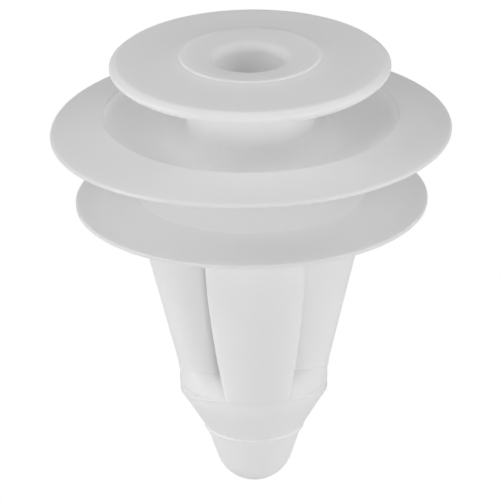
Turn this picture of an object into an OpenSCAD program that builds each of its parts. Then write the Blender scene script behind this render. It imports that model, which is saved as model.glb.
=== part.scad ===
// Push-in trim clip: a one-shot nylon moulding with a keyhole head, a dished spring flange,
// a sealing flange and a tapered shank whose two side wings snap behind a 10 mm panel hole.
// Frame: +Z up along the clip's axis, head at the top, z = 0 on the metal panel's outer face.
// The two wings stand at +X and -X, the two fixed ribs at -Y (front) and +Y (back).

/* [Head] */
// Radius of the head disc
head_r = 8; // [7.6:0.1:8.3]
// Height of the head's widest circle above the metal panel
head_z = 8.25; // [8:0.05:8.6]
// Depth of the head disc below its widest circle
head_depth = 0.5; // [0.4:0.05:0.7]
// Height of the head's top edge above its widest circle
head_edge = 0.48; // [0.35:0.01:0.55]
// Radius of the raised ring in the middle of the head
boss_r = 4; // [3.9:0.05:4.6]
// Height of the raised ring above the head's widest circle
boss_rise = 0.74; // [0.7:0.02:0.9]
// Radius of the core hole that runs down the clip
core_r = 2; // [1.6:0.1:2.2]
// Radius of the neck that slides into the trim's keyhole
neck_r = 3.64; // [3.5:0.02:3.8]

/* [Spring flange] */
// Radius of the ridge around the dish
ridge_r = 8.4; // [8:0.1:8.8]
// Height of the ridge
ridge_z = 5.25; // [5.1:0.05:5.5]
// Radius of the lowest circle of the dish
floor_r = 5.3; // [5:0.1:5.8]
// Height of the lowest circle of the dish
floor_z = 4; // [3.8:0.05:4.3]
// Radius of the spring lip's thin rim
spring_rim_r = 11.4; // [11:0.1:12]
// Drop of the spring lip from the ridge to its rim
spring_drop = 0.7; // [0.5:0.05:0.9]
// Thickness of both flanges at their rims
rim_t = 0.24; // [0.2:0.02:0.3]

/* [Sealing flange] */
// Radius of the sealing lip's rim
seal_rim_r = 10; // [9.6:0.1:10.4]
// Radius of the circle where the stiff cone ends and the soft lip begins
seal_split_r = 6.5; // [6.2:0.1:7]
// Rise of the sealing flange from its rim to the hub
seal_rise = 1.9; // [1.7:0.05:2]
// Radius of the hub between the two flanges
hub_r = 3.8; // [3.7:0.02:3.9]

/* [Shank] */
// Radius of the collar that fills the panel hole
collar_r = 4.75; // [4.7:0.05:4.8]
// Depth of the collar below the panel's outer face
collar_depth = 1.05; // [0.9:0.05:1.2]
// Half width of a rib at the collar
rib_half_top = 2.84; // [2.6:0.02:2.84]
// Half width of a rib at the nose
rib_half_low = 1.8; // [1.6:0.05:1.9]
// Length below the collar over which a rib keeps its full width
rib_straight = 1.5; // [1:0.1:2]
// Outer radius of the ribs at the collar
rib_r_top = 4.6; // [4.55:0.05:4.7]
// Wall thickness of the ribs
rib_wall = 0.8; // [0.7:0.05:0.85]

/* [Wings] */
// Radius of a wing's rounded outer face
wing_r = 2.32; // [2.1:0.02:2.32]
// Wall thickness of a wing
wing_wall = 0.8; // [0.6:0.05:0.9]
// Distance from the axis to a wing's open side
wing_in_x = 2.1; // [2:0.05:2.3]
// Outward lean of a wing, in degrees
wing_lean = 14.3; // [13.5:0.1:14.5]
// Distance from the axis to a wing's outer face at its root
root_x = 4.22; // [4.15:0.01:4.25]
// Depth of the crease where a wing leaves its root
crease_depth = 10.25; // [10.2:0.05:10.35]
// Depth of a wing's widest point
shoulder_depth = 2.6; // [2.4:0.05:2.8]
// Depth of a wing's free end
wing_top_depth = 1.5; // [1.45:0.05:1.6]
// Depth of the solid shoulder below a wing's widest point
shoulder_web = 0.6; // [0.4:0.1:1]

/* [Nose] */
// Depth of the lip where the solid nose begins
lip_depth = 10.75; // [10.7:0.05:10.8]
// Radius of the nose at the lip
lip_r = 4.2; // [4.1:0.01:4.25]
// Slope of the nose from the clip's axis, in degrees
nose_angle = 31.5; // [31:0.5:33]
// Depth of the ring where the nose meets the pilot tip
ring_depth = 13.7; // [13.5:0.05:13.9]
// Radius of the nose at that ring
ring_r = 2.74; // [2.6:0.02:2.8]
// Radius of the pilot tip's round end
tip_r = 2.2; // [2.1:0.02:2.25]
// Overall depth from the panel's outer face to the end of the tip
tip_depth = 17.1; // [16.9:0.05:17.3]

/* [Hidden] */
$fn = 96;

// natural nylon, a little cooler where it is thin
nylon = [0.93, 0.93, 0.91];
thin_nylon = [0.86, 0.89, 0.90];

// clearance between pieces that move past each other
running = 0.05;
// steps in a curved outline
steps = 14;
// longer than any piece, for cutting
far = 30;

head_under = head_z - head_depth;
head_top = head_z + head_edge;
boss_top = head_z + boss_rise;
// radius that rounds the head's top edge
head_round = 0.35;
// width of the raised ring's flat crest, and how far the face inside it is sunk
crest_w = 0.2;
sink = 0.08;
// that face falls a little towards the hole, whose mouth is bevelled by this width and drop
face_fall = 0.1;
mouth_w = 0.35;
mouth_drop = 0.2;

// the dish begins this far outside the neck, and this far below its ridge
foot_w = 0.12;
foot_drop = 0.6;
neck_foot_r = neck_r + foot_w;
neck_foot_z = ridge_z - foot_drop;
// thickness of the dish at its lowest circle and at the ridge, and the reach of its flat underside
dish_t = 0.5;
ridge_t = 0.3;
dish_under = floor_z - dish_t;
under_r = floor_r + 0.6;
// how sharply the dish rises to its ridge
dish_power = 1.6;
lip_in_r = ridge_r + running;
// width of the bevels on the spring lip's rim
rim_edge = 0.1;

// heights of the sealing flange at its rim and at the hub, and its thickness at the hub
seal_top_z = rim_t;
seal_hub_z = seal_top_z + seal_rise;
seal_hub_t = 0.55;
// how sharply the sealing flange rises to the hub
seal_power = 2.4;

// the collar flares into the sealing flange from collar_top, and ends inside it at collar_z
collar_top = 0.3;
collar_z = 1.14;
flare_w = 0.55;
flare_r = collar_r + flare_w;

// height range over which a rib narrows, and how sharply it does
rib_bend_z = -collar_depth - rib_straight;
rib_bend_h = lip_depth - collar_depth - rib_straight;
rib_power = 1.6;

// pivot of the right wing, and the radius of the round bead that turns on it
pivot_x = 3.7;
pivot_depth = 9.9;
bead_r = 0.61;
wing_axis_x = root_x - wing_r / cos(wing_lean);

// a wing's root: its radius, its flat inner side and the depth of its top
root_r = lip_r - running;
root_in_x = rib_half_low + 2 * running;
root_top_depth = pivot_depth + 0.4;

// the nose's slope would meet the lip's radius at this depth; a round shoulder cuts the corner
corner_depth = ring_depth - (lip_r - ring_r) / tan(nose_angle);
shoulder_round = (corner_depth - lip_depth) / tan(nose_angle / 2);
// where the pilot tip's round end leaves its slope, in degrees below the widest circle
tip_angle = 18;

// points along an arc in a half section, from angle a to angle b
function arc(r, z, rad, a, b) =
    [for (i = [0:steps]) let (t = a + (b - a) * i / steps) [r + rad * cos(t), z + rad * sin(t)]];

// height of the dish's upper face at radius r: a round foot, then a rise to the ridge
function dish_z(r) = r < floor_r
    ? floor_z + (neck_foot_z - floor_z) * pow((floor_r - r) / (floor_r - neck_foot_r), 2)
    : floor_z + (ridge_z - floor_z) * pow((r - floor_r) / (ridge_r - floor_r), dish_power);

// height and thickness of the sealing flange at radius r
function seal_z(r) = seal_top_z + seal_rise * pow((seal_rim_r - r) / (seal_rim_r - hub_r), seal_power);
function seal_t(r) = rim_t + (seal_hub_t - rim_t) * (seal_rim_r - r) / (seal_rim_r - hub_r);

// half width of a rib at height z, below where it begins to narrow
function rib_half(z) =
    rib_half_top - (rib_half_top - rib_half_low) * pow((rib_bend_z - z) / rib_bend_h, rib_power);

// values from a to b in even steps
function span(a, b) = [for (i = [0:steps]) a + (b - a) * i / steps];
function back(list) = [for (i = [len(list) - 1:-1:0]) list[i]];

// a solid of revolution from its half section
module turned(points) {
    rotate_extrude() polygon(points);
}

// a tube around the clip's axis
module tube(r_out, r_in, low, high) {
    difference() {
        translate([0, 0, low]) cylinder(r = r_out, h = high - low);
        translate([0, 0, low - 1]) cylinder(r = r_in, h = high - low + 2);
    }
}

module head_disc() {
    color(nylon)
        turned(concat(
            [[boss_r, head_under], [head_r - head_depth, head_under]],
            arc(head_r - head_depth, head_z, head_depth, -90, 0),
            arc(head_r - head_round, head_top - head_round, head_round, 0, 90),
            [[boss_r, boss_top - sink]]
        ));
}

module head_boss() {
    face_z = boss_top - sink;
    color(nylon)
        turned([
            [core_r, head_under],
            [boss_r, head_under],
            [boss_r, boss_top],
            [boss_r - crest_w, boss_top],
            [boss_r - 2 * crest_w, face_z],
            [core_r + mouth_w, face_z - face_fall],
            [core_r, face_z - face_fall - mouth_drop]
        ]);
}

module neck() {
    color(nylon) tube(neck_r, core_r, neck_foot_z, head_under);
}

module spring_dish() {
    inner = [for (r = span(neck_foot_r, floor_r)) [r, dish_z(r)]];
    outer = [for (r = span(floor_r, ridge_r)) [r, dish_z(r)]];
    color(nylon)
        turned(concat(
            [[core_r, dish_under], [core_r, neck_foot_z]],
            inner,
            outer,
            [[ridge_r, ridge_z - ridge_t], [under_r, dish_under]]
        ));
}

module spring_lip() {
    color(thin_nylon)
        turned([
            [lip_in_r, ridge_z - ridge_t],
            [spring_rim_r - rim_edge, ridge_z - spring_drop - rim_t],
            [spring_rim_r, ridge_z - spring_drop - rim_t / 2],
            [spring_rim_r - rim_edge, ridge_z - spring_drop],
            [lip_in_r, ridge_z]
        ]);
}

module hub() {
    color(nylon) tube(hub_r, core_r, seal_hub_z, dish_under);
}

module seal_cone() {
    top = [for (r = span(hub_r, seal_split_r)) [r, seal_z(r)]];
    under = [for (r = span(seal_split_r, flare_r)) [r, seal_z(r) - seal_t(r)]];
    color(nylon)
        turned(concat(
            [[core_r, collar_z], [core_r, seal_hub_z]],
            top,
            under,
            [[flare_r, collar_z]]
        ));
}

module seal_lip() {
    in_r = seal_split_r + running;
    top = [for (r = span(in_r, seal_rim_r)) [r, seal_z(r)]];
    color(thin_nylon)
        turned(concat(top, back([for (p = top) [p[0], p[1] - seal_t(p[0])]])));
}

module collar() {
    color(nylon)
        turned([
            [core_r, -collar_depth],
            [collar_r, -collar_depth],
            [collar_r, collar_top],
            [flare_r, seal_z(flare_r) - seal_t(flare_r)],
            [flare_r, collar_z],
            [core_r, collar_z]
        ]);
}

// side: -1 for the front rib, 1 for the back rib
module rib(side) {
    edge = [for (z = span(rib_bend_z, -lip_depth)) [rib_half(z), z]];
    color(nylon)
        intersection() {
            difference() {
                rib_cone(rib_r_top, lip_r);
                rib_cone(rib_r_top - rib_wall, lip_r - rib_wall);
            }
            rotate([90, 0, 0])
                translate([0, 0, side > 0 ? -far : 0])
                    linear_extrude(height = far)
                        polygon(concat(
                            [[-rib_half_top, -collar_depth], [rib_half_top, -collar_depth]],
                            edge,
                            back([for (p = edge) [-p[0], p[1]]])
                        ));
        }
}

module rib_cone(top, low) {
    translate([0, 0, -lip_depth])
        cylinder(r1 = low, r2 = top, h = lip_depth - collar_depth);
}

module front_rib() { rib(-1); }
module back_rib() { rib(1); }

// the bead of the right wing: a round bar across the shank, with its centre on the pivot
module bead(radius) {
    translate([pivot_x, far / 2, -pivot_depth])
        rotate([90, 0, 0])
            cylinder(r = radius, h = far);
}

// the leaning channel that a wing is cut from, as it stands at +X: a round face with two flat sides
module leaning_channel(radius) {
    translate([wing_axis_x, 0, -crease_depth])
        rotate([0, wing_lean, 0])
            translate([0, 0, -far / 2]) {
                cylinder(r = radius, h = far);
                translate([-far, -radius, 0]) cube([far, 2 * radius, far]);
            }
}

module wing() {
    shoulder_x = root_x + (crease_depth - shoulder_depth) * tan(wing_lean);
    color(thin_nylon)
        intersection() {
            difference() {
                leaning_channel(wing_r);
                // the hollow, which ends below the solid shoulder
                intersection() {
                    leaning_channel(wing_r - wing_wall);
                    translate([0, -far / 2, -shoulder_depth - shoulder_web - far]) cube([far, far, far]);
                }
                translate([wing_in_x - far, -far / 2, -far]) cube([far, far, 2 * far]);
            }
            // the bead below the pivot, and everything above it
            union() {
                bead(bead_r);
                translate([0, -far / 2, -pivot_depth]) cube([far, far, far]);
            }
            // the free end with its sloping shoulder
            union() {
                translate([0, 0, -shoulder_depth - far]) cylinder(r = far, h = far);
                translate([0, 0, -shoulder_depth])
                    cylinder(r1 = shoulder_x, r2 = collar_r, h = shoulder_depth - wing_top_depth);
            }
        }
}

module root() {
    color(nylon)
        difference() {
            translate([0, 0, -lip_depth]) cylinder(r = root_r, h = lip_depth - root_top_depth);
            translate([root_in_x - far, -far / 2, -far]) cube([far, far, 2 * far]);
            bead(bead_r + running);
        }
}

module right_root() { root(); }
module left_root() { mirror([1, 0, 0]) root(); }
module right_wing() { wing(); }
module left_wing() { mirror([1, 0, 0]) wing(); }

module nose_cone() {
    color(nylon)
        turned(concat(
            [[0, -lip_depth], [0, -ring_depth], [ring_r, -ring_depth]],
            arc(lip_r - shoulder_round, -lip_depth, shoulder_round, -nose_angle, 0)
        ));
}

module pilot_tip() {
    centre_z = -tip_depth + tip_r;
    color(nylon)
        turned(concat(
            [[0, -ring_depth]],
            arc(0, centre_z, tip_r, -90, -tip_angle),
            [[ring_r, -ring_depth]]
        ));
}

head_disc();
head_boss();
neck();
spring_dish();
spring_lip();
hub();
seal_cone();
seal_lip();
collar();
front_rib();
back_rib();
left_root();
right_root();
left_wing();
right_wing();
nose_cone();
pilot_tip();
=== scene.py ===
"""Looks of a push-in trim clip: one moulding in milky nylon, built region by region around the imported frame.

Lengths are in metres. Positions come from the frame's own boxes; the sizes below are details of the moulding's
surface, such as edge rounding, beads and the sag of a thin rim, given in millimetres times MM.
"""

from __future__ import annotations

import logging
import math
from dataclasses import dataclass
from enum import Enum
from typing import Callable, Iterable, Sequence

import bpy
from mathutils import Matrix, Vector

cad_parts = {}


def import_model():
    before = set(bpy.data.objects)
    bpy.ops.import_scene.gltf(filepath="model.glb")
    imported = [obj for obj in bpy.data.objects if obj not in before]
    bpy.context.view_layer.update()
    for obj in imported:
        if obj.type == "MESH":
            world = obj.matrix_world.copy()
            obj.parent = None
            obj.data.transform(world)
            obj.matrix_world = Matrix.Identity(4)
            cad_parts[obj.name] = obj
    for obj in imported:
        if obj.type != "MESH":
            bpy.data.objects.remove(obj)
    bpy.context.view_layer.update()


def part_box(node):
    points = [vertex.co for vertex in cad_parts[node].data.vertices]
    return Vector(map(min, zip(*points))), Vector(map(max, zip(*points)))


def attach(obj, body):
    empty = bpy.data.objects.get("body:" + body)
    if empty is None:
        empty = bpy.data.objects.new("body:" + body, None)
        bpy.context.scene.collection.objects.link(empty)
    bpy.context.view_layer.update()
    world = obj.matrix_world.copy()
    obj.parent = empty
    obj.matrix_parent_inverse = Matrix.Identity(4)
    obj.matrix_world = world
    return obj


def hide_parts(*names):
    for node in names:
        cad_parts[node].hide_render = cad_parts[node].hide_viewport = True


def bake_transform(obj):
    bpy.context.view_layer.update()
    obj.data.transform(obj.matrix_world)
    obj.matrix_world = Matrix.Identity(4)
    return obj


MM = 0.001
LOG = logging.getLogger("trim_clip")
AIM = Vector((-0.13 * MM, 0.0, -3.05 * MM))  # what the camera and the softboxes face
SHARP = math.radians(38.0)  # an edge turned by more than this stays crisp
AROUND = 240  # steps round a turned piece
BORE_R = 2.0 * MM  # the core hole, which runs from the head down into the shank
COLLAR_R = 4.75 * MM  # the collar, and the top of the wings' shoulders

Point = tuple[float, float]
Warp = Callable[[Vector], Vector]
Ring = list[Vector]


class Side(Enum):
    """Which of a pair of mirrored pieces is meant, by the sign of its axis."""

    LEFT = -1
    RIGHT = 1


class Face(Enum):
    """Which of the two fixed ribs is meant, by the sign of its place along Y."""

    FRONT = -1
    BACK = 1


# ---------------------------------------------------------------- outlines and meshes


@dataclass(frozen=True)
class Corner:
    """A corner of a half section, with the radius that rounds it."""

    r: float
    z: float
    round: float = 0.0


def rounded(corners: Sequence[Corner], steps: int = 6) -> list[Point]:
    """Rounds an open outline at its corners.

    Args:
        corners: the outline's corners in order.
        steps: how many steps each rounded corner takes.

    Returns:
        The outline's points, in (radius, height).
    """
    points: list[Point] = []
    for index, corner in enumerate(corners):
        here = Vector((corner.r, corner.z))
        inner = 0 < index < len(corners) - 1
        if not inner or corner.round <= 0.0:
            points.append((here.x, here.y))
            continue
        before = Vector((corners[index - 1].r, corners[index - 1].z)) - here
        after = Vector((corners[index + 1].r, corners[index + 1].z)) - here
        reach = min(corner.round, before.length * 0.49, after.length * 0.49)
        start, end = here + before.normalized() * reach, here + after.normalized() * reach
        for step in range(steps + 1):
            t = step / steps
            spot = start * (1 - t) ** 2 + here * 2 * t * (1 - t) + end * t**2
            points.append((spot.x, spot.y))
    return points


def refined(points: Sequence[Point], longest: float) -> list[Point]:
    """Splits an outline's long stretches.

    Args:
        points: the outline.
        longest: the longest stretch to leave, in metres.

    Returns:
        The outline with added points.
    """
    fine: list[Point] = [points[0]]
    for start, end in zip(points, points[1:]):
        length = math.dist(start, end)
        count = max(1, math.ceil(length / longest))
        for step in range(1, count + 1):
            t = step / count
            fine.append((start[0] + (end[0] - start[0]) * t, start[1] + (end[1] - start[1]) * t))
    return fine


def curve_points(shape: Callable[[float], float], start: float, end: float, steps: int = 24) -> list[Point]:
    """Follows a height formula from one radius to another.

    Args:
        shape: gives the height at a radius.
        start: the first radius.
        end: the last radius.
        steps: how many steps to take.

    Returns:
        The points, in (radius, height).
    """
    radii = (start + (end - start) * step / steps for step in range(steps + 1))
    return [(radius, shape(radius)) for radius in radii]


def smooth_mesh(name: str, points: Sequence[Vector], faces: Sequence[Sequence[int]]) -> bpy.types.Object:
    """Makes a smooth-shaded object in the scene.

    Args:
        name: the object's and its mesh's name.
        points: its vertices, in the row frame.
        faces: its faces, as vertex numbers.

    Returns:
        The new object.
    """
    mesh = bpy.data.meshes.new(name)
    mesh.from_pydata([tuple(point) for point in points], [], [list(face) for face in faces])
    mesh.update()
    mesh.validate()
    for polygon in mesh.polygons:
        polygon.use_smooth = True
    mesh.set_sharp_from_angle(angle=SHARP)
    piece = bpy.data.objects.new(name, mesh)
    bpy.context.scene.collection.objects.link(piece)
    return piece


def turned(
    name: str, outline: Sequence[Point], warp: Warp | None = None, closed: bool = True
) -> bpy.types.Object:
    """Turns a half section round the clip's axis.

    Args:
        name: the piece's name.
        outline: the half section's points, with no point on the axis unless it is the first or last.
        warp: moves each point of the finished surface, or None.
        closed: whether the outline's last point joins its first; an outline from axis to axis is open.

    Returns:
        The piece.
    """
    points: list[Vector] = []
    rows: list[list[int]] = []
    for radius, height in outline:
        if radius < 1e-7:
            rows.append([len(points)] * AROUND)
            points.append(Vector((0.0, 0.0, height)))
            continue
        first = len(points)
        for step in range(AROUND):
            angle = 2 * math.pi * step / AROUND
            points.append(Vector((radius * math.cos(angle), radius * math.sin(angle), height)))
        rows.append(list(range(first, first + AROUND)))
    if warp is not None:
        points = [warp(point) for point in points]
    faces: list[list[int]] = []
    pairs = list(zip(rows, rows[1:])) + ([(rows[-1], rows[0])] if closed else [])
    for low, high in pairs:
        for step in range(AROUND):
            after = (step + 1) % AROUND
            face = list(dict.fromkeys((low[step], low[after], high[after], high[step])))
            if len(face) > 2:
                faces.append(face)
    return smooth_mesh(name, points, faces)


def lofted(name: str, rings: Sequence[Ring]) -> bpy.types.Object:
    """Skins a stack of closed rings and closes both ends.

    Args:
        name: the piece's name.
        rings: the rings from one end to the other, each with the same number of points.

    Returns:
        The piece.
    """
    count = len(rings[0])
    points = [point for ring in rings for point in ring]
    faces: list[list[int]] = []
    for level in range(len(rings) - 1):
        low, high = level * count, (level + 1) * count
        for step in range(count):
            after = (step + 1) % count
            faces.append([low + step, low + after, high + after, high + step])
    faces.append(list(range(count))[::-1])
    faces.append([(len(rings) - 1) * count + step for step in range(count)])
    return smooth_mesh(name, points, faces)


def mirrored(rings: Sequence[Ring], side: Side) -> list[Ring]:
    """Gives the rings of the piece at that side, from those of the right one.

    Args:
        rings: the right-hand piece's rings.
        side: the side that is wanted.

    Returns:
        The rings, wound the same way round.
    """
    if side is Side.RIGHT:
        return [list(ring) for ring in rings]
    return [[Vector((-point.x, point.y, point.z)) for point in reversed(ring)] for ring in rings]


def facing_out(piece: bpy.types.Object) -> bpy.types.Object:
    """Turns a closed mesh's faces outward and gives the piece back."""
    mesh = piece.data
    volume = 0.0
    mesh.calc_loop_triangles()
    for triangle in mesh.loop_triangles:
        a, b, c = (mesh.vertices[index].co for index in triangle.vertices)
        volume += a.dot(b.cross(c))
    if volume < 0:
        mesh.flip_normals()
    return piece


def smoothstep(low: float, high: float, value: float) -> float:
    """Rises smoothly from 0 at low to 1 at high."""
    t = min(1.0, max(0.0, (value - low) / (high - low)))
    return t * t * (3 - 2 * t)


# ---------------------------------------------------------------- shader groups and finishes


def new_group(
    name: str, inputs: Sequence[tuple[str, str, object]], outputs: Sequence[tuple[str, str]]
) -> bpy.types.NodeTree:
    """Starts a shader node group with named sockets.

    Args:
        name: the group's name.
        inputs: each input's name, socket kind and default value.
        outputs: each output's name and socket kind.

    Returns:
        The group, with its input and output nodes made.
    """
    group = bpy.data.node_groups.new(name, "ShaderNodeTree")
    for label, kind, value in inputs:
        socket = group.interface.new_socket(name=label, in_out="INPUT", socket_type=kind)
        socket.default_value = value
    for label, kind in outputs:
        group.interface.new_socket(name=label, in_out="OUTPUT", socket_type=kind)
    group.nodes.new("NodeGroupInput").name = "in"
    group.nodes.new("NodeGroupOutput").name = "out"
    return group


def cloudiness_group() -> bpy.types.NodeTree:
    """Builds the milky clouding of natural nylon: a soft drift of colour and sheen through the moulding.

    Returns:
        A group that puts out Color and Roughness.
    """
    group = new_group(
        "milky_clouding",
        [
            ("Color", "NodeSocketColor", (0.8, 0.8, 0.8, 1.0)),
            ("Cloud Color", "NodeSocketColor", (0.7, 0.7, 0.7, 1.0)),
            ("Cloud Size", "NodeSocketFloat", 300.0),
            ("Amount", "NodeSocketFloat", 0.4),
            ("Roughness", "NodeSocketFloat", 0.4),
            ("Roughness Spread", "NodeSocketFloat", 0.08),
        ],
        [("Color", "NodeSocketColor"), ("Roughness", "NodeSocketFloat")],
    )
    nodes, links = group.nodes, group.links
    place = nodes.new("ShaderNodeTexCoord")
    cloud = nodes.new("ShaderNodeTexNoise")
    cloud.inputs["Detail"].default_value = 3.0
    cloud.inputs["Roughness"].default_value = 0.5
    links.new(place.outputs["Object"], cloud.inputs["Vector"])
    links.new(nodes["in"].outputs["Cloud Size"], cloud.inputs["Scale"])

    soften = nodes.new("ShaderNodeMapRange")
    soften.interpolation_type = "SMOOTHSTEP"
    soften.inputs["From Min"].default_value = 0.32
    soften.inputs["From Max"].default_value = 0.68
    links.new(cloud.outputs["Fac"], soften.inputs["Value"])
    share = nodes.new("ShaderNodeMath")
    share.operation = "MULTIPLY"
    links.new(soften.outputs["Result"], share.inputs[0])
    links.new(nodes["in"].outputs["Amount"], share.inputs[1])

    tint = nodes.new("ShaderNodeMix")
    tint.data_type = "RGBA"
    links.new(share.outputs["Value"], tint.inputs["Factor"])
    links.new(nodes["in"].outputs["Color"], tint.inputs[6])
    links.new(nodes["in"].outputs["Cloud Color"], tint.inputs[7])
    links.new(tint.outputs[2], nodes["out"].inputs["Color"])

    sheen = nodes.new("ShaderNodeMath")
    sheen.operation = "MULTIPLY_ADD"
    links.new(soften.outputs["Result"], sheen.inputs[0])
    links.new(nodes["in"].outputs["Roughness Spread"], sheen.inputs[1])
    links.new(nodes["in"].outputs["Roughness"], sheen.inputs[2])
    links.new(sheen.outputs["Value"], nodes["out"].inputs["Roughness"])
    return group


def tool_texture_group() -> bpy.types.NodeTree:
    """Builds the relief that the mould leaves: a fine spark-eroded grain over slow ripples.

    Returns:
        A group that puts out Height, from 0 to about 1.
    """
    group = new_group(
        "tool_texture",
        [
            ("Grain Size", "NodeSocketFloat", 9000.0),
            ("Grain", "NodeSocketFloat", 0.3),
            ("Ripple Size", "NodeSocketFloat", 350.0),
            ("Ripple", "NodeSocketFloat", 0.7),
        ],
        [("Height", "NodeSocketFloat")],
    )
    nodes, links = group.nodes, group.links
    place = nodes.new("ShaderNodeTexCoord")
    parts = []
    for size, amount, detail in (("Grain Size", "Grain", 2.0), ("Ripple Size", "Ripple", 1.0)):
        noise = nodes.new("ShaderNodeTexNoise")
        noise.inputs["Detail"].default_value = detail
        links.new(place.outputs["Object"], noise.inputs["Vector"])
        links.new(nodes["in"].outputs[size], noise.inputs["Scale"])
        scaled = nodes.new("ShaderNodeMath")
        scaled.operation = "MULTIPLY"
        links.new(noise.outputs["Fac"], scaled.inputs[0])
        links.new(nodes["in"].outputs[amount], scaled.inputs[1])
        parts.append(scaled)
    total = nodes.new("ShaderNodeMath")
    total.operation = "ADD"
    links.new(parts[0].outputs["Value"], total.inputs[0])
    links.new(parts[1].outputs["Value"], total.inputs[1])
    links.new(total.outputs["Value"], nodes["out"].inputs["Height"])
    return group


class Effects:
    """The shader groups that the finishes share, each built once."""

    def __init__(self) -> None:
        """Builds every group."""
        self.clouding = cloudiness_group()
        self.texture = tool_texture_group()


def grey(value: float) -> tuple[float, float, float, float]:
    """A neutral colour that light."""
    return (value, value, value, 1.0)


@dataclass(frozen=True)
class NylonFinish:
    """Natural nylon on one part of the moulding: each finish is the same nylon, made lighter or darker to paint
    light and shade.

    Shade and cloud_shade are how light the plastic and its clouds are painted, scatter is how much light it lets
    in and depth how far that light goes, and grain, ripple and relief are the heights of the tool's marks.
    """

    name: str
    shade: float
    cloud_shade: float
    roughness: float
    scatter: float
    depth: float
    grain: float = 0.35
    ripple: float = 0.65
    relief: float = 0.006 * MM

    def material(self, effects: Effects) -> bpy.types.Material:
        """Builds the finish's material.

        Args:
            effects: the shared shader groups.

        Returns:
            The material.
        """
        material = bpy.data.materials.new(self.name)
        material.use_nodes = True
        nodes, links = material.node_tree.nodes, material.node_tree.links
        plastic = nodes["Principled BSDF"]
        plastic.inputs["IOR"].default_value = 1.53
        plastic.inputs["Subsurface Weight"].default_value = self.scatter
        plastic.inputs["Subsurface Radius"].default_value = (1.0, 1.0, 1.0)
        plastic.inputs["Subsurface Scale"].default_value = self.depth
        plastic.inputs["Specular IOR Level"].default_value = 0.42

        clouding = nodes.new("ShaderNodeGroup")
        clouding.node_tree = effects.clouding
        clouding.inputs["Color"].default_value = grey(self.shade)
        clouding.inputs["Cloud Color"].default_value = grey(self.cloud_shade)
        clouding.inputs["Roughness"].default_value = self.roughness
        texture = nodes.new("ShaderNodeGroup")
        texture.node_tree = effects.texture
        texture.inputs["Grain"].default_value = self.grain
        texture.inputs["Ripple"].default_value = self.ripple
        bump = nodes.new("ShaderNodeBump")
        bump.inputs["Strength"].default_value = 0.5
        bump.inputs["Distance"].default_value = self.relief

        links.new(clouding.outputs["Color"], plastic.inputs["Base Color"])
        links.new(clouding.outputs["Roughness"], plastic.inputs["Roughness"])
        links.new(texture.outputs["Height"], bump.inputs["Height"])
        links.new(bump.outputs["Normal"], plastic.inputs["Normal"])

        # seen from inside, a skin is clear, so that regions which overlap share their light
        clear = nodes.new("ShaderNodeBsdfTransparent")
        facing = nodes.new("ShaderNodeNewGeometry")
        skin = nodes.new("ShaderNodeMixShader")
        links.new(facing.outputs["Backfacing"], skin.inputs["Fac"])
        links.new(plastic.outputs["BSDF"], skin.inputs[1])
        links.new(clear.outputs["BSDF"], skin.inputs[2])
        links.new(skin.outputs["Shader"], nodes["Material Output"].inputs["Surface"])
        return material


class Finishes:
    """Every finish of the moulding, ready to put on a piece: copies of one nylon, their shades set region by
    region to paint light and shade.
    """

    # head ring, neck and hub: the nylon made near white, painted light that brightens them as bounced light
    # would
    THICK_PAINTED_LIGHT = NylonFinish("nylon_thick_painted_light", 0.99, 0.975, 0.38, 1.0, 1.0 * MM)
    FACE = NylonFinish("nylon_head_face", 0.96, 0.94, 0.36, 1.0, 0.8 * MM, ripple=0.9)
    FLANGE = NylonFinish("nylon_flange", 0.955, 0.935, 0.36, 1.0, 0.8 * MM)
    # both flange lips: the nylon made darker, painted shade on the thin rims
    LIP_PAINTED_SHADE = NylonFinish("nylon_lip_painted_shade", 0.87, 0.85, 0.36, 1.0, 0.8 * MM)
    SHANK = NylonFinish("nylon_shank", 0.95, 0.93, 0.42, 1.0, 0.8 * MM, grain=0.5)
    # both wings: the nylon made near white, a painted glow as of light shining through the thin leaves
    WING_PAINTED_GLOW = NylonFinish("nylon_wing", 0.995, 0.985, 0.42, 1.0, 0.4 * MM, grain=0.5)
    # the fine beads: opaque near-white nylon, a painted highlight along them on top of the light their raised
    # shape catches
    BEAD_PAINTED_HIGHLIGHT = NylonFinish("nylon_bead_painted_highlight", 0.985, 0.97, 0.25, 0.0, 0.2 * MM, grain=0.1)

    def __init__(self) -> None:
        """Builds the shared groups and each finish's material."""
        effects = Effects()
        every = (self.THICK_PAINTED_LIGHT, self.FACE, self.FLANGE, self.LIP_PAINTED_SHADE, self.SHANK, self.WING_PAINTED_GLOW, self.BEAD_PAINTED_HIGHLIGHT)
        self.made = {finish.name: finish.material(effects) for finish in every}

    def dress(self, piece: bpy.types.Object, finish: NylonFinish) -> None:
        """Puts one finish on a piece, in place of any other."""
        piece.data.materials.clear()
        piece.data.materials.append(self.made[finish.name])


# ---------------------------------------------------------------- what the frame says


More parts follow.
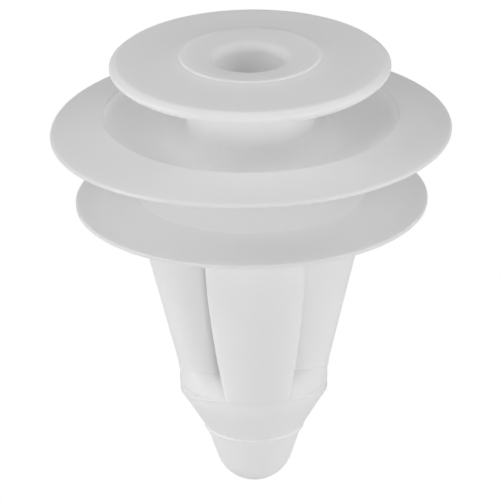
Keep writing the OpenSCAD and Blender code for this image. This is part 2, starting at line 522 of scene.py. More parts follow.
class ClipFrame:
    """The clip's main places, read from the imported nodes' boxes."""

    NODES = (
        "head_disc",
        "head_boss",
        "neck",
        "spring_dish",
        "spring_lip",
        "hub",
        "seal_cone",
        "seal_lip",
        "collar",
        "front_rib",
        "right_root",
        "right_wing",
        "nose_cone",
        "pilot_tip",
    )

    def __init__(self) -> None:
        """Reads every box that a piece is placed from."""
        low: dict[str, Vector] = {}
        high: dict[str, Vector] = {}
        for node in self.NODES:
            low[node], high[node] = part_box(node)
        self.head_r, self.head_under = high["head_disc"].x, low["head_disc"].z
        self.boss_r, self.boss_top = high["head_boss"].x, high["head_boss"].z
        self.neck_r, self.neck_foot = high["neck"].x, low["neck"].z
        self.ridge_r, self.ridge_z = high["spring_dish"].x, high["spring_dish"].z
        self.dish_under = low["spring_dish"].z
        self.lip_r, self.lip_z = high["spring_lip"].x, low["spring_lip"].z
        self.hub_r, self.hub_low = high["hub"].x, low["hub"].z
        self.split_r = high["seal_cone"].x
        self.seal_r, self.seal_under = high["seal_lip"].x, low["seal_lip"].z
        self.collar_low = low["collar"].z
        self.rib_half = high["front_rib"].x
        self.rib_low, self.rib_high = low["front_rib"].z, high["front_rib"].z
        self.root_in, self.root_r = low["right_root"].x, high["right_root"].x
        self.wing_in = low["right_wing"].x
        self.wing_half, self.wing_top = high["right_wing"].y, high["right_wing"].z
        self.nose_r, self.ring_z = high["nose_cone"].x, low["nose_cone"].z
        self.ring_r, self.tip_z = high["pilot_tip"].x, low["pilot_tip"].z


@dataclass(frozen=True)
class Bend:
    """How a piece would bend: it would follow the clip's body up to one height and the moving body from another
    on; nothing in this script applies it.
    """

    body: str
    start: float
    end: float


class Moulding:
    """What every region of the moulding needs: the frame's places and the finishes."""

    def __init__(self, places: ClipFrame, finishes: Finishes) -> None:
        """Keeps the places and finishes."""
        self.at = places
        self.finishes = finishes

    def settle(
        self, piece: bpy.types.Object, finish: NylonFinish, nodes: Sequence[str], slot: str = "natural_nylon",
        bend: Bend | None = None,
    ) -> bpy.types.Object:
        """Dresses a finished piece, ties it to the clip's body unless it has a bend, and hides the CAD nodes
        that it stands for.

        Args:
            piece: the piece.
            finish: what it is dressed in.
            nodes: the CAD nodes that it stands for.
            slot: not used.
            bend: a bend, whose values nothing reads; with None the piece is tied to the clip's body, with a bend
                only its transform is baked.

        Returns:
            The piece.
        """
        facing_out(piece)
        self.finishes.dress(piece, finish)
        if bend is None:
            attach(piece, "clip_body")
        else:
            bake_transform(piece)
        if nodes:
            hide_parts(*nodes)
        LOG.info("%s: %d faces, for %s", piece.name, len(piece.data.polygons), ", ".join(nodes) or "no node")
        return piece


# ---------------------------------------------------------------- head and neck


@dataclass
class Head:
    """The head disc, the raised ring with its core hole, and the neck under them."""

    moulding: Moulding
    rim_under: float = 0.42 * MM
    widest_rise: float = 0.5 * MM
    edge_rise: float = 0.85 * MM
    edge_in: float = 0.35 * MM
    face_in: float = 1.9 * MM
    face_lift: float = 0.05 * MM
    well_w: float = 0.55 * MM
    dip: float = 0.065 * MM
    crest_h: float = 0.16 * MM
    crest: float = 0.16 * MM
    sunk: float = 0.10 * MM
    mouth_r: float = 2.35 * MM
    overlap: float = 0.4 * MM

    def disc(self) -> bpy.types.Object:
        """Builds the disc with its bevelled, rounded rim."""
        at = self.moulding.at
        widest = at.head_under + self.widest_rise
        top = at.head_under + self.edge_rise
        outline = rounded(
            [
                Corner(at.boss_r - self.overlap, at.head_under + 0.05 * MM),
                Corner(at.boss_r, at.head_under),
                Corner(at.head_r - self.rim_under, at.head_under, 0.25 * MM),
                Corner(at.head_r, widest - 0.1 * MM, 0.16 * MM),
                Corner(at.head_r - 0.02 * MM, widest + 0.08 * MM, 0.06 * MM),
                Corner(at.head_r - self.edge_in, top, 0.12 * MM),
                Corner(at.head_r - self.face_in, top + self.face_lift, 1.2 * MM),
                Corner(at.boss_r + self.well_w, at.boss_top - self.crest_h - self.dip, 0.3 * MM),
                Corner(at.boss_r + 0.12 * MM, at.boss_top - 0.11 * MM, 0.15 * MM),
                Corner(at.boss_r - self.overlap, at.boss_top - self.crest_h),
            ]
        )
        return self.moulding.settle(
            turned("head_disc.face", refined(outline, 0.2 * MM)), Finishes.FACE, ["head_disc"]
        )

    def ring(self) -> bpy.types.Object:
        """Builds the raised ring: a soft crest, a sunken face, and the rounded mouth of the core hole."""
        at = self.moulding.at
        face = at.boss_top - self.sunk
        outline = rounded(
            [
                Corner(BORE_R, at.head_under - self.overlap),
                Corner(at.boss_r - 0.1 * MM, at.head_under - 0.02 * MM),
                Corner(at.boss_r + 0.07 * MM, at.boss_top - 0.2 * MM),
                Corner(at.boss_r + 0.05 * MM, at.boss_top - 0.07 * MM, 0.05 * MM),
                Corner(at.boss_r - 0.06 * MM, at.boss_top, 0.07 * MM),
                Corner(at.boss_r - self.crest - 0.12 * MM, face + 0.01 * MM, 0.16 * MM),
                Corner(at.boss_r - 0.9 * MM, face - 0.03 * MM, 0.3 * MM),
                Corner(self.mouth_r + 0.1 * MM, face - 0.07 * MM, 0.1 * MM),
                Corner(self.mouth_r - 0.1 * MM, face - 0.12 * MM, 0.1 * MM),
                Corner(BORE_R, face - 0.5 * MM, 0.25 * MM),
                Corner(BORE_R, at.head_under - self.overlap),
            ]
        )
        return self.moulding.settle(
            turned("head_boss.ring", refined(outline, 0.15 * MM)[:-1]), Finishes.THICK_PAINTED_LIGHT, ["head_boss"]
        )

    def neck(self) -> bpy.types.Object:
        """Builds the neck, filleted into the head above and the dish below."""
        at = self.moulding.at
        outline = rounded(
            [
                Corner(BORE_R, at.neck_foot - 0.3 * MM),
                Corner(at.neck_r + 0.35 * MM, at.neck_foot - 0.3 * MM),
                Corner(at.neck_r + 0.13 * MM, at.neck_foot, 0.12 * MM),
                Corner(at.neck_r, at.neck_foot + 0.1 * MM, 0.1 * MM),
                Corner(at.neck_r, at.head_under, 0.25 * MM),
                Corner(at.neck_r + 0.5 * MM, at.head_under + 0.02 * MM),
                Corner(at.neck_r + 0.5 * MM, at.head_under + 0.3 * MM),
                Corner(BORE_R, at.head_under + 0.3 * MM),
            ]
        )
        return self.moulding.settle(turned("neck.stem", refined(outline, 0.25 * MM)), Finishes.THICK_PAINTED_LIGHT, ["neck"])

    def build(self) -> None:
        """Builds the head's three regions."""
        self.disc()
        self.ring()
        self.neck()


# ---------------------------------------------------------------- the two flanges


@dataclass
class SpringFlange:
    """The dished upper flange: a stiff dish up to its ridge, and a thin lip that sags a little at the left."""

    moulding: Moulding
    floor_r: float = 5.3 * MM
    floor_drop: float = 1.25 * MM
    ridge_thick: float = 0.3 * MM
    rim_thick: float = 0.24 * MM
    ridge_round: float = 0.09 * MM
    floor_power: float = 1.6
    tuck: float = 0.06 * MM
    sag: float = 0.35 * MM
    sag_heading: float = math.radians(190.0)

    def dish_height(self, radius: float) -> float:
        """Height of the dish's upper face at a radius: a round foot, then a rise to the ridge."""
        at = self.moulding.at
        low = at.ridge_z - self.floor_drop
        foot_r = at.neck_r + 0.12 * MM
        if radius < self.floor_r:
            return low + (at.neck_foot - low) * ((self.floor_r - radius) / (self.floor_r - foot_r)) ** 2
        rise = (radius - self.floor_r) / (at.ridge_r - self.floor_r)
        return low + self.floor_drop * rise**self.floor_power

    def dish(self) -> bpy.types.Object:
        """Builds the dish from the neck to its ridge."""
        at = self.moulding.at
        floor = curve_points(self.dish_height, at.neck_r - 0.3 * MM, at.ridge_r - 0.12 * MM, 40)
        under = rounded(
            [
                Corner(at.ridge_r - 0.12 * MM, self.dish_height(at.ridge_r - 0.12 * MM)),
                Corner(at.ridge_r - 0.02 * MM, at.ridge_z - 0.02 * MM, 0.05 * MM),
                Corner(at.ridge_r, at.ridge_z - 0.1 * MM),
                Corner(at.ridge_r, at.ridge_z - self.ridge_thick),
                Corner(self.floor_r + 0.6 * MM, at.dish_under, 0.8 * MM),
                Corner(BORE_R, at.dish_under),
                Corner(BORE_R, at.neck_foot - 0.2 * MM),
            ]
        )
        outline = refined(floor + under[1:], 0.2 * MM)
        return self.moulding.settle(turned("spring_dish.bowl", outline), Finishes.FLANGE, ["spring_dish"])

    def sagged(self, point: Vector) -> Vector:
        """Lets the lip hang a little lower on its left, most at its rim."""
        at = self.moulding.at
        out = (math.hypot(point.x, point.y) - at.ridge_r) / (at.lip_r - at.ridge_r)
        turn = math.cos(math.atan2(point.y, point.x) - self.sag_heading)
        drop = self.sag * max(0.0, turn) ** 2 * max(0.0, out) ** 1.4
        return point - Vector((0.0, 0.0, drop))

    def lip(self) -> bpy.types.Object:
        """Builds the lip, which bends at the ridge as it is pressed flat."""
        at = self.moulding.at
        rim_under = at.lip_z
        rim_top = rim_under + self.rim_thick
        outline = rounded(
            [
                Corner(at.ridge_r - self.tuck, at.ridge_z - self.ridge_thick),
                Corner(at.lip_r - 0.3 * MM, rim_under + 0.055 * MM, 0.5 * MM),
                Corner(at.lip_r - 0.05 * MM, rim_under, 0.08 * MM),
                Corner(at.lip_r, rim_under + 0.12 * MM, 0.08 * MM),
                Corner(at.lip_r - 0.07 * MM, rim_top, 0.08 * MM),
                Corner(at.ridge_r + 0.2 * MM, at.ridge_z - 0.035 * MM, 0.5 * MM),
                Corner(at.ridge_r + 0.03 * MM, at.ridge_z, self.ridge_round),
                Corner(at.ridge_r - 0.08 * MM, at.ridge_z - 0.035 * MM, 0.05 * MM),
                Corner(at.ridge_r - self.tuck, at.ridge_z - 0.12 * MM),
            ]
        )
        piece = turned("spring_lip.rim", refined(outline, 0.2 * MM), self.sagged)
        bend = Bend("spring_lip", at.ridge_z - 0.03 * MM, rim_under)
        return self.moulding.settle(piece, Finishes.LIP_PAINTED_SHADE, ["spring_lip"], "thin_nylon", bend)

    def build(self) -> None:
        """Builds the dish and its lip."""
        self.dish()
        self.lip()


@dataclass
class SealFlange:
    """The thin lower flange: the hub, a cone that spreads like a trumpet's bell, and the soft lip."""

    moulding: Moulding
    rim_thick: float = 0.24 * MM
    hub_thick: float = 0.55 * MM
    power: float = 2.4
    sag: float = 0.1 * MM
    edge: float = 0.12 * MM
    hub_tuck: float = 0.4 * MM

    def top(self, radius: float) -> float:
        """Height of the flange's upper face at a radius."""
        at = self.moulding.at
        rim = at.seal_under + self.rim_thick
        share = max(0.0, (at.seal_r - radius) / (at.seal_r - at.hub_r))
        return rim + (at.hub_low - rim) * share**self.power

    def under(self, radius: float) -> float:
        """Height of the flange's lower face at a radius."""
        at = self.moulding.at
        share = (at.seal_r - radius) / (at.seal_r - at.hub_r)
        return self.top(radius) - self.rim_thick - (self.hub_thick - self.rim_thick) * share

    def sagged(self, point: Vector) -> Vector:
        """Lets the lip hang slightly lower at its left."""
        at = self.moulding.at
        out = max(0.0, (math.hypot(point.x, point.y) - at.split_r) / (at.seal_r - at.split_r))
        left = max(0.0, -point.x / at.seal_r)
        return point - Vector((0.0, 0.0, self.sag * left * out**2))

    def bend(self) -> Bend:
        """The flange's bending, from the hub down to the rim."""
        return Bend("seal_lip", self.moulding.at.hub_low - 0.3 * MM, self.rim_thick)

    def hub(self) -> bpy.types.Object:
        """Builds the hub between the flanges."""
        at = self.moulding.at
        outline = rounded(
            [
                Corner(BORE_R, at.hub_low - self.hub_tuck),
                Corner(at.hub_r, at.hub_low - self.hub_tuck),
                Corner(at.hub_r, at.dish_under, 0.2 * MM),
                Corner(at.hub_r + 0.35 * MM, at.dish_under + 0.03 * MM),
                Corner(at.hub_r, at.dish_under + 0.3 * MM),
                Corner(BORE_R, at.dish_under + 0.3 * MM),
            ]
        )
        return self.moulding.settle(turned("hub.stem", refined(outline, 0.25 * MM)), Finishes.THICK_PAINTED_LIGHT, ["hub"])

    def cone(self) -> bpy.types.Object:
        """Builds the bell from the hub to where the lip begins."""
        at = self.moulding.at
        top = curve_points(self.top, at.hub_r - 0.05 * MM, at.split_r, 30)
        under = curve_points(self.under, at.split_r, at.hub_r + 0.2 * MM, 30)
        bore = [(BORE_R, under[-1][1]), (BORE_R, top[0][1])]
        outline = refined(top + under + bore, 0.25 * MM)
        piece = turned("seal_cone.bell", outline)
        return self.moulding.settle(piece, Finishes.FLANGE, ["seal_cone"], bend=self.bend())

    def lip(self) -> bpy.types.Object:
        """Builds the soft lip with its rounded rim."""
        at = self.moulding.at
        top = curve_points(self.top, at.split_r, at.seal_r - self.edge, 30)
        under = curve_points(self.under, at.seal_r - self.edge, at.split_r, 30)
        rim = rounded(
            [
                Corner(*top[-1]),
                Corner(at.seal_r - 0.02 * MM, at.seal_under + self.rim_thick, 0.09 * MM),
                Corner(at.seal_r - 0.02 * MM, at.seal_under + 0.005 * MM, 0.09 * MM),
                Corner(*under[0]),
            ]
        )
        outline = refined(top + rim[1:-1] + under, 0.2 * MM)
        piece = turned("seal_lip.rim", outline, self.sagged)
        return self.moulding.settle(piece, Finishes.LIP_PAINTED_SHADE, ["seal_lip"], "thin_nylon", self.bend())

    def build(self) -> None:
        """Builds the hub, the bell and the lip."""
        self.hub()
        self.cone()
        self.lip()


# ---------------------------------------------------------------- the shank


@dataclass(frozen=True)
class NoseLine:
    """The nose's outline: a round shoulder that turns from upright into the slope."""

    at: ClipFrame
    slope: float = math.radians(31.5)

    def bend(self) -> float:
        """Radius of the shoulder."""
        corner = self.at.rib_low - self.at.ring_z - (self.at.nose_r - self.at.ring_r) / math.tan(self.slope)
        return corner / math.tan(self.slope / 2)

    def radius(self, height: float) -> float:
        """The nose's radius at a height."""
        bend = self.bend()
        down = max(0.0, self.at.rib_low - height)
        turn = min(self.slope, math.asin(min(1.0, down / bend)))
        rest = max(0.0, down - bend * math.sin(self.slope))
        return self.at.nose_r - bend * (1 - math.cos(turn)) - rest * math.tan(self.slope)

    def corners(self) -> list[Corner]:
        """The shoulder, from the rib's foot to where the slope is straight."""
        bend = self.bend()
        turns = [self.slope * step / 12 for step in range(13)]
        nose_r, foot = self.at.nose_r, self.at.rib_low
        return [Corner(nose_r - bend * (1 - math.cos(turn)), foot - bend * math.sin(turn)) for turn in turns]


@dataclass
class Shank:
    """The collar, the two fixed ribs, the nose and the pilot tip."""

    moulding: Moulding
    collar_top: float = 0.3 * MM
    flare_w: float = 0.75 * MM
    flare_h: float = 0.62 * MM
    flare_tuck: float = 0.95 * MM
    flare_bend: float = 1.03 * MM
    rib_r: float = 4.6 * MM
    rib_wall: float = 0.8 * MM
    rib_low_half: float = 1.8 * MM
    rib_shape: float = 1.6
    rib_round: float = 0.16 * MM
    rib_foot: float = 0.35 * MM
    rib_head: float = 0.3 * MM
    rib_levels: int = 40
    straight: float = 1.5 * MM
    tip_r: float = 2.2 * MM
    tip_slope: float = math.radians(18.0)
    bead_r: float = 0.1 * MM

    def collar(self) -> bpy.types.Object:
        """Builds the collar that fills the panel hole, flared into the sealing flange."""
        at = self.moulding.at
        outline = rounded(
            [
                Corner(BORE_R, at.collar_low, 0.0),
                Corner(COLLAR_R, at.collar_low, 0.15 * MM),
                Corner(COLLAR_R, self.collar_top, 0.3 * MM),
                Corner(COLLAR_R + self.flare_w, self.collar_top + self.flare_h),
                Corner(COLLAR_R, self.collar_top + self.flare_tuck),
                Corner(BORE_R, self.collar_top + self.flare_tuck),
            ]
        )
        piece = turned("collar.ring", refined(outline, 0.25 * MM))
        bend = Bend("seal_lip", self.collar_top, self.collar_top + self.flare_bend)
        return self.moulding.settle(piece, Finishes.SHANK, ["collar"], bend=bend)

    def rib_half_at(self, height: float) -> float:
        """Half width of a rib at a height: straight at first, then drawn in towards the nose."""
        at = self.moulding.at
        down = max(0.0, (at.rib_high - self.straight - height) / (at.rib_high - self.straight - at.rib_low))
        return at.rib_half - (at.rib_half - self.rib_low_half) * down**self.rib_shape

    def rib_ring(self, height: float, radius: float, half: float) -> Ring:
        """Gives the closed section of the front rib at a height.

        Args:
            height: where the section is taken.
            radius: the rib's outer radius there.
            half: its half width there.

        Returns:
            The section's points, round the outer face and back along the inner one.
        """
        inner = radius - self.rib_wall
        across, corner = 20, 5
        ring: Ring = []

        def along(rad: float, left: float, right: float) -> None:
            """Adds an arc of that radius, from one angle to another."""
            for step in range(across + 1):
                angle = left + (right - left) * step / across
                ring.append(Vector((rad * math.sin(angle), -rad * math.cos(angle), height)))

        def turn(start: Vector, corner_at: Vector, end: Vector) -> None:
            """Adds the inner points of a rounded corner."""
            for step in range(1, corner):
                t = step / corner
                ring.append(start * (1 - t) ** 2 + corner_at * 2 * t * (1 - t) + end * t**2)

        def on(rad: float, x: float) -> Vector:
            """The point of the arc that lies that far to the side."""
            return Vector((x, -math.sqrt(rad * rad - x * x), height))

        out_x, edge = half - self.rib_round, Vector((0.0, self.rib_round, 0.0))
        along(radius, -math.asin(out_x / radius), math.asin(out_x / radius))
        face = on(radius, half)
        turn(on(radius, out_x), face, face + edge)
        ring.append(face + edge)
        back = on(inner, half)
        ring.append(back - edge)
        turn(back - edge, back, on(inner, out_x))
        along(inner, math.asin(out_x / inner), -math.asin(out_x / inner))
        back = on(inner, -half)
        turn(on(inner, -out_x), back, back - edge)
        ring.append(back - edge)
        face = on(radius, -half)
        ring.append(face + edge)
        turn(face + edge, face, on(radius, -out_x))
        return ring

    def rib(self, face: Face) -> bpy.types.Object:
        """Builds one fixed rib, flush with the nose at its foot."""
        at = self.moulding.at
        line = NoseLine(at)
        rings: list[Ring] = []
        bottom, top = at.rib_low - self.rib_foot, at.rib_high + self.rib_head
        for level in range(self.rib_levels + 1):
            height = bottom + (top - bottom) * level / self.rib_levels
            share = max(0.0, (height - at.rib_low) / (at.rib_high - at.rib_low))
            below = max(0.0, at.rib_low - height)
            radius = line.radius(height) + (self.rib_r - at.nose_r) * share - 0.05 * below
            rings.append(self.rib_ring(height, radius, self.rib_half_at(max(height, at.rib_low))))
        if face is Face.BACK:
            rings = [[Vector((-point.x, -point.y, point.z)) for point in ring] for ring in rings]
        name = "front_rib" if face is Face.FRONT else "back_rib"
        return self.moulding.settle(lofted(f"{name}.panel", rings), Finishes.SHANK, [name])

    def nose(self) -> bpy.types.Object:
        """Builds the solid nose: a round shoulder and the slope down to the tip."""
        at = self.moulding.at
        outline = rounded(
            [
                Corner(0.0, at.rib_low),
                *NoseLine(at).corners(),
                Corner(at.ring_r + 0.02 * MM, at.ring_z + 0.02 * MM, 0.05 * MM),
                Corner(at.ring_r - 0.02 * MM, at.ring_z - 0.06 * MM, 0.03 * MM),
                Corner(at.ring_r - 0.12 * MM, at.ring_z - 0.12 * MM),
                Corner(0.0, at.ring_z - 0.12 * MM),
            ],
            steps=10,
        )
        return self.moulding.settle(
            turned("nose_cone.solid", refined(outline, 0.2 * MM), closed=False), Finishes.SHANK, ["nose_cone"]
        )

    def tip(self) -> bpy.types.Object:
        """Builds the pilot tip: a slope that ends in a round nose."""
        at = self.moulding.at
        centre = at.tip_z + self.tip_r
        hidden = at.ring_z + 0.3 * MM
        outline: list[Point] = [(0.0, hidden), (at.ring_r - 0.12 * MM, hidden)]
        outline.append((at.ring_r - 0.015 * MM, at.ring_z))
        steps = 24
        for step in range(steps + 1):
            angle = -self.tip_slope - (math.pi / 2 - self.tip_slope) * step / steps
            radius = 0.0 if step == steps else self.tip_r * math.cos(angle)
            outline.append((radius, centre + self.tip_r * math.sin(angle)))
        return self.moulding.settle(
            turned("pilot_tip.round", refined(outline, 0.2 * MM), closed=False), Finishes.SHANK, ["pilot_tip"]
        )

    def bead(self) -> bpy.types.Object:
        """Builds the fine bead round the top of the tip."""
        at = self.moulding.at
        outline: list[Point] = []
        for step in range(16):
            angle = 2 * math.pi * step / 16
            out, up = self.bead_r * math.cos(angle), self.bead_r * math.sin(angle)
            outline.append((at.ring_r + out, at.ring_z + up))
        return self.moulding.settle(turned("nose_cone.bead", outline), Finishes.BEAD_PAINTED_HIGHLIGHT, [])

    def build(self) -> None:
        """Builds the fixed parts of the shank."""
        self.collar()
        self.bead()
        for face in Face:
            self.rib(face)
        self.nose()
        self.tip()


@dataclass
class Wings:
    """The two snap wings, each with the solid root that it bends from."""

    moulding: Moulding
    root_x: float = 4.2 * MM
    lean: float = math.radians(14.0)
    crease_z: float = -10.02 * MM
    crease_rise: float = 0.5 * MM
    wall: float = 0.8 * MM
    boxiness: float = 2.5
    shoulder_z: float = -2.6 * MM
    shoulder_ease: float = 0.3 * MM
    crease_power: float = 0.8
    hollow_foot: Point = (0.5 * MM, 1.3 * MM)
    hollow_head: Point = (1.2 * MM, 0.6 * MM)
    open_from: Point = (-9.0 * MM, -7.0 * MM)
    proud: float = 0.045 * MM
    proud_h: float = 0.35 * MM
    foot_rise: float = 0.04 * MM
    foot_out: float = 0.02 * MM
    lip_tuck: Point = (-0.3 * MM, -0.08 * MM)
    head_over: Point = (0.4 * MM, 1.2 * MM)
    head_narrow: float = 0.3
    root_levels: int = 14
    leaf_levels: int = 64
    leaf_short: Point = (0.1 * MM, 0.03 * MM)
    bend_length: float = 1.6 * MM
    bead: float = 0.09 * MM
    lip_drop: float = 0.65 * MM
    around: int = 44
    tuck_x: float = 1.5 * MM

    def outer_x(self, height: float) -> float:
        """Distance from the axis to a wing's outer face at a height, where it isn't cut by the shoulder."""
        return self.root_x + max(0.0, height - self.crease_z) * math.tan(self.lean)

    def section(self, x_in: float, x_out: float, half: float, turn: float) -> Vector:
        """Gives a point of a wing's rounded outline.

        Args:
            x_in: the open side.
            x_out: the outermost point.
            half: half the wing's width.
            turn: where on the outline, from -90 degrees at the front edge to 90 at the back one, in radians.

        Returns:
            The point, at height 0.
        """
        power = 2.0 / self.boxiness
        along = max(0.0, math.cos(turn)) ** power
        across = math.copysign(abs(math.sin(turn)) ** power, turn)
        return Vector((x_in + (x_out - x_in) * along, half * across, 0.0))

    def turns(self) -> list[float]:
        """Even steps round a wing's outline, from front to back."""
        return [math.pi * (step / self.around - 0.5) for step in range(self.around + 1)]

    def crease_at(self, turn: float) -> float:
        """Height of the crease at a place on the outline: lowest in the middle of the outer face."""
        share = smoothstep(0.0, math.radians(62.0), abs(turn))
        return self.crease_z + self.crease_rise * share**self.crease_power

    def hollow(self, height: float) -> float:
        """How far the wing's hollow reaches at a height, from 0 in the root and the shoulder to 1."""
        low = smoothstep(self.crease_z + self.hollow_foot[0], self.crease_z + self.hollow_foot[1], height)
        high = smoothstep(self.shoulder_z - self.hollow_head[0], self.shoulder_z - self.hollow_head[1], height)
        return max(0.02, min(low, 1.0 - high))

    def leaf_rings(self) -> list[Ring]:
        """Gives the sections of the right wing from its crease to its free end."""
        at = self.moulding.at
        short, closer = self.leaf_short
        rings: list[Ring] = []
        # for each ring: how far it is below its height, how far inside the outline, how far up the wing, and how
        # far short of the top
        steps = [(0.14 * MM, 0.16 * MM, 0.0, 0.0), (0.05 * MM, 0.05 * MM, 0.0, 0.0), (0.0, 0.0, 0.0, 0.0)]
        for level in range(1, self.leaf_levels + 1):
            left = self.leaf_levels - level
            steps.append((0.0, 0.0, level / self.leaf_levels, short + closer * left))
        steps += [(0.0, 0.03 * MM, 1.0, 0.0), (0.0, 0.1 * MM, 1.0, 0.0)]
        for below, inset, share, missing in steps:
            ring_out: Ring = []
            ring_in: Ring = []
            for turn in self.turns():
                foot = self.crease_at(turn)
                height = foot + (at.wing_top - missing - foot) * share - below
                flare = self.proud * (1.0 - smoothstep(0.0, self.proud_h, height - foot))
                x_out = self.outer_x(height) + flare - inset
                half = at.wing_half + flare - inset
                point = self.section(at.wing_in, x_out, half, turn)
                limit = self.shoulder_limit(height) - inset
                reach = math.hypot(point.x, point.y)
                if reach > limit:
                    point *= limit / reach
                ring_out.append(Vector((point.x, point.y, height)))
                hollow = self.hollow(height)
                x_edge = self.tuck_x + (at.wing_in - self.tuck_x) * smoothstep(*self.open_from, height)
                x_hollow = x_edge + (x_out - self.wall - x_edge) * hollow
                inner = self.section(x_edge, x_hollow, (at.wing_half - self.wall) * hollow, turn)
                ring_in.append(Vector((inner.x, inner.y, height)))
            rings.append(ring_out + ring_in[::-1])
        return rings

    def shoulder_limit(self, height: float) -> float:
        """Largest distance from the clip's axis that the shoulder leaves at a height."""
        at = self.moulding.at
        widest = self.outer_x(self.shoulder_z)
        rise = max(0.0, (height - self.shoulder_z) / (at.wing_top - self.shoulder_z))
        return widest + self.shoulder_ease * (1.0 - min(1.0, rise * 8)) - (widest - COLLAR_R) * rise

    def root_rings(self) -> list[Ring]:
        """Gives the sections of the right root, from inside the nose up to under the wing."""
        at = self.moulding.at
        line = NoseLine(at)
        widest = math.acos(at.root_in / at.root_r)
        rings: list[Ring] = []
        for rise, out in (self.lip_tuck, (0.0, self.foot_out / 2), (self.foot_rise, self.foot_out)):
            ring = [self.on_lip(turn, widest, line, out, rise) for turn in self.turns()]
            rings.append(self.closed_root(ring))
        for level in range(1, self.root_levels + 4):
            share = level / self.root_levels
            over = max(0.0, share - 1.0)
            ring = []
            for turn in self.turns():
                foot = self.on_lip(turn, widest, line, self.foot_out, self.foot_rise)
                crease = self.crease_at(turn)
                head = self.section(at.wing_in, self.outer_x(crease), at.wing_half, turn)
                head.z = crease
                point = foot.lerp(head, min(1.0, share))
                point.x -= over * self.head_over[0]
                point.y *= 1.0 - over * self.head_narrow
                point.z += over * self.head_over[1]
                ring.append(point)
            rings.append(self.closed_root(ring))
        return rings

    def on_lip(self, turn: float, widest: float, line: NoseLine, out: float, rise: float) -> Vector:
        """Gives a point of the lip, which runs round the nose and lower at the side.

        Args:
            turn: the place on the root's outline.
            widest: how far round the nose the root reaches, in radians.
            line: the nose's outline.
            out: how far outside the nose the point is.
            rise: how far above the lip it is.

        Returns:
            The point.
        """
        angle = turn / (math.pi / 2) * widest
        height = self.moulding.at.rib_low - self.lip_drop * math.cos(turn) ** 1.5
        radius = line.radius(height) + out
        return Vector((radius * math.cos(angle), radius * math.sin(angle), height + rise))

    def lip_bead(self, side: Side) -> bpy.types.Object:
        """Builds the fine bead that runs along a root's lip."""
        line = NoseLine(self.moulding.at)
        widest = math.acos(self.moulding.at.root_in / self.moulding.at.root_r)
        rings: list[Ring] = []
        for turn in self.turns():
            middle = self.on_lip(turn, widest, line, 0.0, 0.0)
            out = Vector((middle.x, middle.y, 0.0)).normalized()
            thick = self.bead * max(0.25, math.cos(turn) ** 0.3)
            ring = []
            for step in range(12):
                angle = 2 * math.pi * step / 12
                up = Vector((0.0, 0.0, thick * math.sin(angle)))
                ring.append(middle + out * thick * math.cos(angle) + up)
            rings.append(ring)
        piece = lofted(f"{side.name.lower()}_root.bead", mirrored(rings, side))
        return self.moulding.settle(piece, Finishes.BEAD_PAINTED_HIGHLIGHT, [])

    def closed_root(self, ring: Ring) -> Ring:
        """Closes a root's outer line along its flat inner side."""
        return ring + [Vector((self.tuck_x, point.y, point.z)) for point in reversed(ring)]

    def wing(self, side: Side) -> bpy.types.Object:
        """Builds one wing, which bends out of its root."""
        at = self.moulding.at
        name = side.name.lower() + "_wing"
        piece = lofted(f"{name}.leaf", mirrored(self.leaf_rings(), side))
        bend_from = self.crease_z + self.crease_rise + 0.05 * MM
        bend = Bend(name, bend_from, bend_from + self.bend_length)
        return self.moulding.settle(piece, Finishes.WING_PAINTED_GLOW, [name], "thin_nylon", bend)

    def root(self, side: Side) -> bpy.types.Object:
        """Builds one root, from the nose's lip to the crease."""
        name = side.name.lower() + "_root"
        piece = lofted(f"{name}.block", mirrored(self.root_rings(), side))
        return self.moulding.settle(piece, Finishes.SHANK, [name])

    def build(self) -> None:
        """Builds both wings and both roots."""
        for side in Side:
            self.root(side)
            self.lip_bead(side)
            self.wing(side)


# ---------------------------------------------------------------- stage, light and camera


@dataclass(frozen=True)
class Softbox:
    """A square softbox round the clip.

    Heading is its place, in degrees, 0 being in front and 90 at the right; height is in degrees above the
    horizon, and power in watts.
    """

    name: str
    heading: float
    height: float
    power: float
    side: float = 0.12
    distance: float = 0.3


SOFTBOXES = (
    Softbox("left_softbox", -80.0, 3.0, 0.28),
    Softbox("left_high_softbox", -80.0, 40.0, 0.16),
    Softbox("front_softbox", 10.0, 3.0, 0.12),
    Softbox("right_softbox", 50.0, 3.0, 0.20),
    Softbox("right_high_softbox", 90.0, 40.0, 0.15),
    Softbox("top_softbox", 0.0, 75.0, 0.11, side=0.15),
)


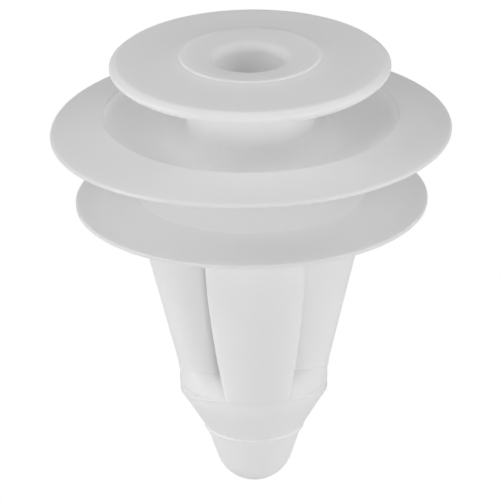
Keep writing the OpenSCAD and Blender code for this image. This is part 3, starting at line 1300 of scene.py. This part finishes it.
@dataclass
class Studio:
    """A pale floor well under the clip, a white tent of light, and the camera."""

    centre: Vector
    floor_gap: float = 14 * MM
    floor_size: float = 1.2
    distance: float = 0.9
    azimuth: float = math.radians(-3.0)
    elevation: float = math.radians(23.0)
    field: float = 28.4 * MM
    roll: float = math.radians(-0.68)
    tent_light: float = 0.25
    floor_glow: float = 0.02

    def floor(self, lowest: float) -> bpy.types.Object:
        """Lays the floor, which shows only from above."""
        half = self.floor_size / 2
        height = lowest - self.floor_gap
        corners = [(-half, -half), (half, -half), (half, half), (-half, half)]
        floor = smooth_mesh("floor", [Vector((x, y, height)) for x, y in corners], [[0, 1, 2, 3]])
        material = bpy.data.materials.new("pale_floor")
        material.use_nodes = True
        nodes, links = material.node_tree.nodes, material.node_tree.links
        paper = nodes["Principled BSDF"]
        paper.inputs["Base Color"].default_value = grey(0.9)
        paper.inputs["Roughness"].default_value = 0.9
        paper.inputs["Emission Color"].default_value = grey(1.0)
        paper.inputs["Emission Strength"].default_value = self.floor_glow
        white = nodes.new("ShaderNodeEmission")
        white.inputs["Color"].default_value = grey(1.0)
        ray = nodes.new("ShaderNodeLightPath")
        seen = nodes.new("ShaderNodeMixShader")
        links.new(ray.outputs["Is Camera Ray"], seen.inputs["Fac"])
        links.new(paper.outputs["BSDF"], seen.inputs[1])
        links.new(white.outputs["Emission"], seen.inputs[2])
        clear = nodes.new("ShaderNodeBsdfTransparent")
        facing = nodes.new("ShaderNodeNewGeometry")
        pick = nodes.new("ShaderNodeMixShader")
        links.new(facing.outputs["Backfacing"], pick.inputs["Fac"])
        links.new(seen.outputs["Shader"], pick.inputs[1])
        links.new(clear.outputs["BSDF"], pick.inputs[2])
        links.new(pick.outputs["Shader"], nodes["Material Output"].inputs["Surface"])
        floor.data.materials.append(material)
        return floor

    def hang(self, softbox: Softbox) -> None:
        """Hangs a softbox that faces the clip.

        Args:
            softbox: the softbox.
        """
        data = bpy.data.lights.new(softbox.name, "AREA")
        data.shape = "SQUARE"
        data.size = softbox.side
        data.energy = softbox.power
        lamp = bpy.data.objects.new(softbox.name, data)
        lamp.visible_camera = False
        turn, up = math.radians(softbox.heading), math.radians(softbox.height)
        way = Vector((math.sin(turn) * math.cos(up), -math.cos(turn) * math.cos(up), math.sin(up)))
        lamp.location = self.centre + way * softbox.distance
        lamp.rotation_euler = way.to_track_quat("Z", "Y").to_euler()
        bpy.context.scene.collection.objects.link(lamp)

    def tent(self) -> None:
        """Surrounds the clip with an even white light, and shows the camera pure white behind it."""
        world = bpy.data.worlds.new("light_tent")
        world.use_nodes = True
        nodes, links = world.node_tree.nodes, world.node_tree.links
        lit = nodes["Background"]
        lit.inputs["Color"].default_value = grey(1.0)
        lit.inputs["Strength"].default_value = self.tent_light
        seen = nodes.new("ShaderNodeBackground")
        seen.inputs["Color"].default_value = grey(1.0)
        seen.inputs["Strength"].default_value = 1.0
        ray = nodes.new("ShaderNodeLightPath")
        pick = nodes.new("ShaderNodeMixShader")
        links.new(ray.outputs["Is Camera Ray"], pick.inputs["Fac"])
        links.new(lit.outputs["Background"], pick.inputs[1])
        links.new(seen.outputs["Background"], pick.inputs[2])
        links.new(pick.outputs["Shader"], nodes["World Output"].inputs["Surface"])
        bpy.context.scene.world = world

    def camera(self) -> bpy.types.Object:
        """Sets up a long lens looking down on the clip."""
        data = bpy.data.cameras.new("camera")
        data.sensor_width = 36.0
        data.lens = data.sensor_width * self.distance / self.field
        data.clip_start, data.clip_end = 0.01, 10.0
        camera = bpy.data.objects.new("camera", data)
        way = Vector(
            (
                math.sin(self.azimuth) * math.cos(self.elevation),
                -math.cos(self.azimuth) * math.cos(self.elevation),
                math.sin(self.elevation),
            )
        )
        camera.location = self.centre + way * self.distance
        level = (-way).to_track_quat("-Z", "Y").to_matrix().to_4x4()
        camera.rotation_euler = (level @ Matrix.Rotation(self.roll, 4, "Z")).to_euler()
        bpy.context.scene.collection.objects.link(camera)
        bpy.context.scene.camera = camera
        return camera

    def build(self, lowest: float) -> None:
        """Sets up the floor, the tent, the softboxes and the camera."""
        self.floor(lowest)
        self.tent()
        for softbox in SOFTBOXES:
            self.hang(softbox)
        scene = bpy.context.scene
        scene.view_settings.view_transform = "Standard"
        # light goes from face to face between the flanges and inside the skins
        scene.cycles.diffuse_bounces = 10
        scene.cycles.max_bounces = 14
        self.camera()


def main() -> None:
    """Builds the clip's regions from the head down, then the studio around it."""
    logging.basicConfig(level=logging.INFO, format="%(name)s: %(message)s")
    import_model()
    places = ClipFrame()
    moulding = Moulding(places, Finishes())
    Head(moulding).build()
    SpringFlange(moulding).build()
    SealFlange(moulding).build()
    Shank(moulding).build()
    Wings(moulding).build()
    Studio(AIM).build(places.tip_z)


if __name__ == "__main__":
    main()
